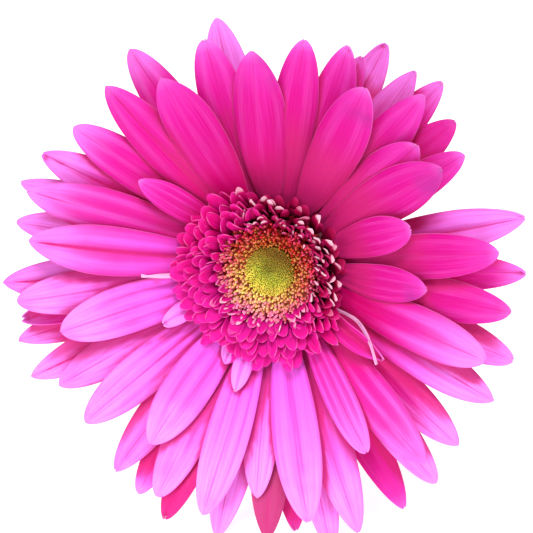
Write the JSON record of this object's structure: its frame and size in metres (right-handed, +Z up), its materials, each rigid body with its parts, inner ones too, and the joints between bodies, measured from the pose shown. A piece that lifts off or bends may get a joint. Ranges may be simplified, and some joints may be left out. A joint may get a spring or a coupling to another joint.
{
  "type": "cut gerbera",
  "caption": "Cut gerbera lying down: a domed eye, rings of small florets and layered magenta ray petals on a bare, curved stem.",
  "frame": {"origin": "on the table, under the middle of the flower and its stem", "axes": "+Z up; the stem runs along +Y and the face of the flower looks towards -Y and a little up"},
  "size_m": [0.1108, 0.2676, 0.1105],
  "materials": {
    "ray_petal": "silky magenta pink, veined",
    "trans_floret": "silky crimson with pale rims",
    "disc_floret": "matte yellow to red with pale tips",
    "eye": "matte, granular green-yellow",
    "bract": "matte green with purplish tips",
    "stem": "matte green, finely hairy"
  },
  "bodies": {
    "root": {"stem": "stem", "inner_bracts": "bract", "outer_bracts": "bract", "ray_petal_01": "ray_petal", "ray_petal_02": "ray_petal", "ray_petal_03": "ray_petal", "ray_petal_04": "ray_petal", "ray_petal_05": "ray_petal", "ray_petal_06": "ray_petal", "ray_petal_07": "ray_petal", "ray_petal_08": "ray_petal", "ray_petal_09": "ray_petal", "ray_petal_10": "ray_petal", "ray_petal_11": "ray_petal", "ray_petal_12": "ray_petal", "ray_petal_13": "ray_petal", "ray_petal_14": "ray_petal", "ray_petal_15": "ray_petal", "ray_petal_16": "ray_petal", "ray_petal_17": "ray_petal", "ray_petal_18": "ray_petal", "ray_petal_19": "ray_petal", "ray_petal_20": "ray_petal", "ray_petal_21": "ray_petal", "ray_petal_22": "ray_petal", "ray_petal_23": "ray_petal", "ray_petal_24": "ray_petal", "ray_petal_25": "ray_petal", "ray_petal_26": "ray_petal", "ray_petal_27": "ray_petal", "ray_petal_28": "ray_petal", "ray_petal_29": "ray_petal", "ray_petal_30": "ray_petal", "ray_petal_31": "ray_petal", "ray_petal_32": "ray_petal", "ray_petal_33": "ray_petal", "ray_petal_34": "ray_petal", "ray_petal_35": "ray_petal", "ray_petal_36": "ray_petal", "ray_petal_37": "ray_petal", "ray_petal_38": "ray_petal", "ray_petal_39": "ray_petal", "ray_petal_40": "ray_petal", "ray_petal_41": "ray_petal", "ray_petal_42": "ray_petal", "ray_petal_43": "ray_petal", "ray_petal_44": "ray_petal", "ray_petal_45": "ray_petal", "ray_petal_46": "ray_petal", "ray_petal_47": "ray_petal", "ray_petal_48": "ray_petal", "ray_petal_49": "ray_petal", "ray_petal_50": "ray_petal", "ray_petal_51": "ray_petal", "ray_petal_52": "ray_petal", "outer_trans_florets": "trans_floret", "middle_trans_florets": "trans_floret", "inner_trans_florets": "trans_floret", "disc_florets": "disc_floret", "eye": "eye"}
  },
  "joints": []
}
